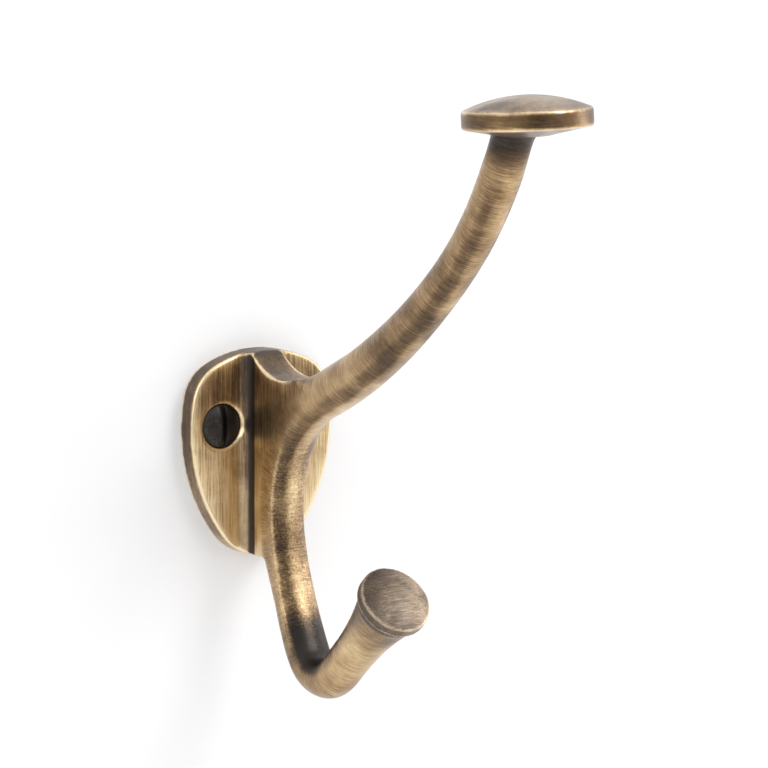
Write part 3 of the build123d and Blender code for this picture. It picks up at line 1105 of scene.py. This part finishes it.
@dataclass
class ScrewPair:
    """Two slotted wood screws with raised countersunk heads, in millimetres."""

    spacing: float = 18.4
    head_diameter: float = 8.4
    head_rise: float = 1.4
    rim: float = 0.18
    cone_angle: float = 82.0
    shank_diameter: float = 4.1
    shank_length: float = 4.6
    core_diameter: float = 2.8
    crest_diameter: float = 4.1
    pitch: float = 1.7
    length: float = 25.0
    point_length: float = 5.5
    slot_width: float = 1.2
    slot_depth: float = 1.5
    steps: int = 64
    thread_steps: int = 28

    def build(self, node: bpy.types.Object) -> bpy.types.Object:
        """Model both screws.

        Args:
            node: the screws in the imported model.

        Returns:
            The screws as one object.
        """
        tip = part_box(node.name)[1].y / MM
        blank = piece("screw_blank", self._turned_blank(tip - self.length))
        cutter = piece("slot_cutter", self._slot_cutter(tip - self.length))
        cut = blank.modifiers.new("slot", "BOOLEAN")
        cut.object = cutter
        cut.operation = "DIFFERENCE"
        cut.solver = "EXACT"
        soften = blank.modifiers.new("worn_edges", "BEVEL")
        soften.width = 0.07 * MM
        soften.segments = 2
        soften.limit_method = "ANGLE"
        soften.angle_limit = math.radians(40)
        one = applied(blank)
        both = bmesh.new()
        both.from_mesh(one)
        both.from_mesh(self._thread(tip - self.length))
        middle = Vector((self.spacing / 2 * MM, 0, 0))
        first = list(both.verts) + list(both.edges) + list(both.faces)
        copied = bmesh.ops.duplicate(both, geom=first)["geom"]
        bmesh.ops.translate(both, vec=-middle, verts=verts_of(first))
        bmesh.ops.translate(both, vec=middle, verts=verts_of(copied))
        mesh = kept(both, "wood_screws")
        for spare in (blank, cutter):
            bpy.data.objects.remove(spare)
        mesh.shade_smooth()
        mesh.set_sharp_from_angle(angle=math.radians(35))
        return piece("wood_screws", mesh)

    def _turned_blank(self, rim: float) -> bpy.types.Mesh:
        """Turn the head, shank, core and point.

        Args:
            rim: depth of the head's rim in the row frame.

        Returns:
            The blank's mesh, on the Y axis.
        """
        half = self.head_diameter / 2
        ball = (half**2 + self.head_rise**2) / (2 * self.head_rise)
        radii = [half * share / 10 for share in range(11)]
        dome = [(radius, rim - self.head_rise + ball - math.sqrt(ball**2 - radius**2)) for radius in radii]
        cone = (half - self.shank_diameter / 2) / math.tan(math.radians(self.cone_angle / 2))
        profile = dome + [
            (half, rim + self.rim),
            (self.shank_diameter / 2, rim + self.rim + cone),
            (self.shank_diameter / 2, rim + self.shank_length),
            (self.core_diameter / 2, rim + self.shank_length + 0.5),
            (self.core_diameter / 2, rim + self.length - self.point_length),
            (0.12, rim + self.length - 0.25),
            (0.0, rim + self.length),
        ]
        work = bmesh.new()
        verts = [work.verts.new((radius * MM, depth * MM, 0)) for radius, depth in profile]
        edges = [work.edges.new(pair) for pair in zip(verts, verts[1:])]
        bmesh.ops.spin(work, geom=verts + edges, cent=(0, 0, 0), axis=(0, 1, 0), dvec=(0, 0, 0),
                       angle=2 * math.pi, steps=self.steps, use_merge=True, use_duplicate=False)
        bmesh.ops.remove_doubles(work, verts=work.verts, dist=0.001 * MM)
        bmesh.ops.recalc_face_normals(work, faces=work.faces)
        return kept(work, "screw_blank")

    def _slot_cutter(self, rim: float) -> bpy.types.Mesh:
        """Bar that cuts the upright slot.

        Args:
            rim: depth of the head's rim in the row frame.

        Returns:
            The cutter's mesh.
        """
        work = bmesh.new()
        bmesh.ops.create_cube(work, size=1.0)
        top = rim - self.head_rise
        size = Vector((self.slot_width, 2 * self.slot_depth, self.head_diameter * 1.4)) * MM
        bmesh.ops.scale(work, vec=size, verts=work.verts)
        bmesh.ops.translate(work, vec=(0, top * MM, 0), verts=work.verts)
        return kept(work, "slot_cutter")

    def _thread(self, rim: float) -> bpy.types.Mesh:
        """Wind the thread's ridge round the core, run out at the shank and drawn in at the point.

        Args:
            rim: depth of the head's rim in the row frame.

        Returns:
            The ridge's mesh.
        """
        start = rim + self.shank_length + 0.3
        end = rim + self.length - 1.2
        turns = (end - start) / self.pitch
        root, crest = self.core_diameter / 2 - 0.15, self.crest_diameter / 2
        work = bmesh.new()
        outline = [(root, -0.55), (crest, -0.10), (crest, 0.10), (root, 0.55)]
        verts = [work.verts.new((radius * MM, (start + shift) * MM, 0)) for radius, shift in outline]
        edges = [work.edges.new(pair) for pair in zip(verts, verts[1:] + verts[:1])]
        steps = round(turns * self.thread_steps)
        bmesh.ops.spin(work, geom=verts + edges, cent=(0, 0, 0), axis=(0, 1, 0),
                       dvec=(0, self.pitch / self.thread_steps * MM, 0), angle=turns * 2 * math.pi,
                       steps=steps, use_merge=False, use_duplicate=False)
        bmesh.ops.holes_fill(work, edges=[edge for edge in work.edges if edge.is_boundary])
        for vert in work.verts:
            depth = vert.co.y / MM
            radius = math.hypot(vert.co.x, vert.co.z) / MM
            shown = min(1.0, max(0.0, (depth - start) / self.pitch))
            drawn = min(1.0, max(0.0, (rim + self.length - depth) / self.point_length))
            wanted = (root + (radius - root) * shown) * (0.12 + 0.88 * drawn)
            vert.co.x *= wanted / radius
            vert.co.z *= wanted / radius
        bmesh.ops.recalc_face_normals(work, faces=work.faces)
        return kept(work, "thread_ridge")

    def dress(self, screws: bpy.types.Object, finish: BlackenedSteel) -> None:
        """Give the screws their finish and their place in the model.

        Args:
            screws: both screws.
            finish: the steel.
        """
        screws.data.materials.append(finish.make())
        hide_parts("mounting_screws")
        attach(screws, "root")


@dataclass
class Studio:
    """White wall and floor, soft lights and the camera."""

    wall_gap: float = 0.0003
    width: float = 2.4
    wall_top: float = 1.1
    floor: float = -0.32
    floor_front: float = -1.7
    cove: float = 0.12
    camera_place: tuple[float, float, float] = (-0.78095, -1.18177, 0.22117)
    camera_turn: tuple[float, float, float] = (81.4, 0.0, -34.5)
    lens: float = 347.3
    world_low: Tone = (0.36, 0.36, 0.37, 1)
    world_high: Tone = (1.0, 1.0, 1.0, 1)
    world_heights: Span = (-0.6, 0.5)
    dark_side: tuple[float, float, float] = (-0.45, -0.88, 0.02)
    dark_reach: Span = (0.55, 0.95)
    world_strengths: Span = (1.25, 0.45)
    aim: tuple[float, float, float] = (0.0, -0.03, 0.01)
    lamps: tuple[tuple[str, tuple[float, float, float], float, float], ...] = (
        ("key", (0.75, -1.05, 1.05), 0.75, 9.0),
        ("left_fill", (-1.25, -0.75, 0.65), 1.2, 6.0),
        ("right_edge", (1.1, -0.35, 0.1), 0.6, 2.6),
    )

    def build(self) -> None:
        """Set up the stage, the lights and the camera."""
        self._backdrop()
        self._world()
        for lamp in self.lamps:
            self._lamp(*lamp)
        self._camera()
        bpy.context.scene.view_settings.view_transform = "Standard"

    def _backdrop(self) -> None:
        """Bend one sheet into the wall, a cove and the floor."""
        work = bmesh.new()
        corner = self.wall_gap - self.cove
        line = [(self.wall_gap, self.wall_top), (self.wall_gap, self.floor + self.cove)]
        for step in range(1, 12):
            angle = math.radians(90 * step / 12)
            out = corner + self.cove * math.cos(angle)
            line.append((out, self.floor + self.cove * (1 - math.sin(angle))))
        line += [(corner, self.floor), (self.floor_front, self.floor)]
        verts = [work.verts.new((-self.width / 2, out, up)) for out, up in line]
        edges = [work.edges.new(pair) for pair in zip(verts, verts[1:])]
        made = bmesh.ops.extrude_edge_only(work, edges=edges)["geom"]
        bmesh.ops.translate(work, vec=(self.width, 0, 0), verts=verts_of(made))
        bmesh.ops.recalc_face_normals(work, faces=work.faces)
        wall = max(work.faces, key=lambda face: face.calc_area() * abs(face.normal.y))
        if wall.normal.y > 0:
            bmesh.ops.reverse_faces(work, faces=work.faces)
        mesh = kept(work, "backdrop")
        mesh.shade_smooth()
        sheet = piece("backdrop", mesh)
        mesh.materials.append(StudioPaper().make())

    def _world(self) -> None:
        """Surround the hook with white, darker towards the floor."""
        bench = PaintBench(bpy.data.worlds.new("white_room"))
        seen = bench.node("ShaderNodeTexCoord").outputs["Generated"]
        height = bench.node("ShaderNodeMapRange")
        bench.join(bench.apart(seen)[2], height.inputs[0])
        height.inputs[1].default_value, height.inputs[2].default_value = self.world_heights
        toward = bench.node("ShaderNodeVectorMath", operation="DOT_PRODUCT")
        bench.join(seen, toward.inputs[0])
        toward.inputs[1].default_value = Vector(self.dark_side).normalized()
        back = bench.node("ShaderNodeBackground")
        colour = bench.ramp(height.outputs[0], ((0.0, self.world_low), (1.0, self.world_high)))
        strength = bench.spread(toward.outputs["Value"], *self.dark_reach, *self.world_strengths)
        bench.join(colour, back.inputs[0])
        bench.join(strength, back.inputs[1])
        bench.join(back.outputs[0], bench.node("ShaderNodeOutputWorld").inputs[0])
        bpy.context.scene.world = bench.owner

    def _lamp(self, name: str, place: tuple[float, float, float], size: float, power: float) -> None:
        """Hang a square soft light that looks at the hook.

        Args:
            name: name of the light.
            place: where it hangs.
            size: length of its side in metres.
            power: its power in watts.
        """
        lamp = bpy.data.lights.new(name, "AREA")
        lamp.size = size
        lamp.energy = power
        made = piece(name, lamp)
        made.location = place
        made.rotation_euler = (Vector(self.aim) - Vector(place)).to_track_quat("-Z", "Y").to_euler()

    def _camera(self) -> None:
        """Stand the camera where the photograph was taken from."""
        lens = bpy.data.cameras.new("photo_camera")
        lens.lens = self.lens
        lens.sensor_width = 36.0
        lens.clip_start = 0.01
        camera = piece("photo_camera", lens)
        camera.location = self.camera_place
        camera.rotation_euler = tuple(math.radians(turn) for turn in self.camera_turn)
        bpy.context.scene.camera = camera


def main() -> None:
    """Dress the hook."""
    logging.basicConfig(level=logging.INFO, format="%(name)s: %(message)s")
    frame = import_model()

    casting = CastingSkin(CentreLine())
    skin = casting.build(frame["nodes"]["hook_casting"])
    casting.dress(skin, AntiqueBrass())
    log.info("%s: %d faces", skin.name, len(skin.data.polygons))

    pair = ScrewPair()
    screws = pair.build(frame["nodes"]["mounting_screws"])
    pair.dress(screws, BlackenedSteel())
    log.info("%s: %d faces", screws.name, len(screws.data.polygons))

    Studio().build()
    log.info("studio: stage, lights and camera")


if __name__ == "__main__":
    main()
